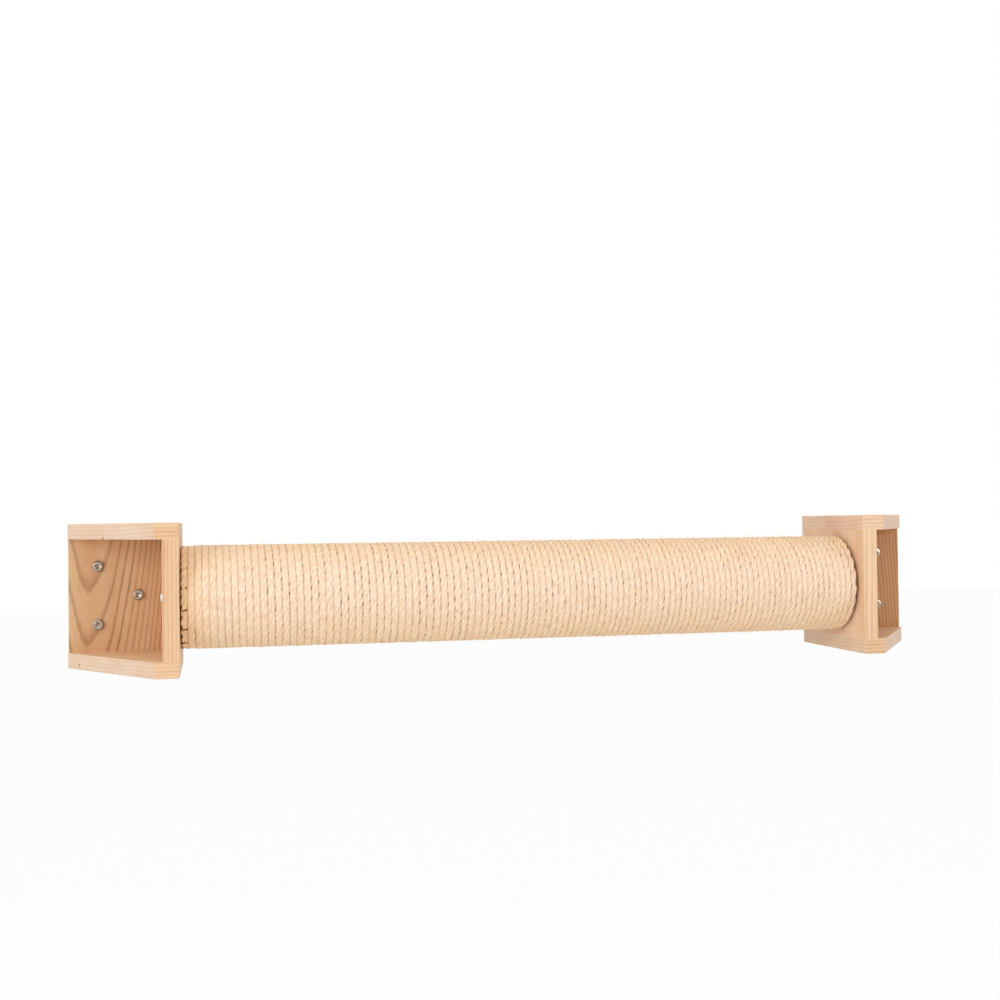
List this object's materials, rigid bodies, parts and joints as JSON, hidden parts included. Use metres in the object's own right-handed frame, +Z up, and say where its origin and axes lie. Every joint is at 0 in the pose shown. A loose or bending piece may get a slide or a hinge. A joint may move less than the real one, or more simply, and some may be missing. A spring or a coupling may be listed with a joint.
{
  "type": "wall-mounted cat scratching post",
  "caption": "Level rope-wound scratching post held between open wooden box brackets that screw to a wall.",
  "frame": {"origin": "on the wall plane, midway between the brackets and halfway up them: the centre of the outer wall screws", "axes": "+X along the post, to the right as seen from the room; +Y into the wall; +Z up"},
  "size_m": [0.886, 0.1885, 0.14],
  "materials": {
    "pine_board": "sanded, unfinished pine",
    "plug_wood": "turned softwood",
    "sisal_rope": "laid sisal rope",
    "kraft_tube": "spiral-wound kraft board",
    "zinc_screw": "bright zinc plate",
    "steel_nail": "bright steel",
    "steel_staple": "galvanised wire"
  },
  "bodies": {
    "brackets": {"left_wall_plate": "pine_board", "left_side_plate": "pine_board", "left_top_board": "pine_board", "left_bottom_board": "pine_board", "left_board_nails": "steel_nail", "left_wall_screws": "zinc_screw", "right_wall_plate": "pine_board", "right_side_plate": "pine_board", "right_top_board": "pine_board", "right_bottom_board": "pine_board", "right_board_nails": "steel_nail", "right_wall_screws": "zinc_screw"},
    "post": {"left_end_plug": "plug_wood", "left_plug_nails": "steel_nail", "left_post_screw": "zinc_screw", "left_rope_turns": "sisal_rope", "left_rope_staples": "steel_staple", "right_end_plug": "plug_wood", "right_plug_nails": "steel_nail", "right_post_screw": "zinc_screw", "right_rope_turns": "sisal_rope", "right_rope_staples": "steel_staple", "core_tube": "kraft_tube", "rope_middle": "sisal_rope"}
  },
  "joints": [
    {"name": "post_turn", "type": "hinge", "parent": "brackets", "child": "post", "pos_m": [0, -0.083, 0], "axis": [1, 0, 0], "continuous": true}
  ]
}
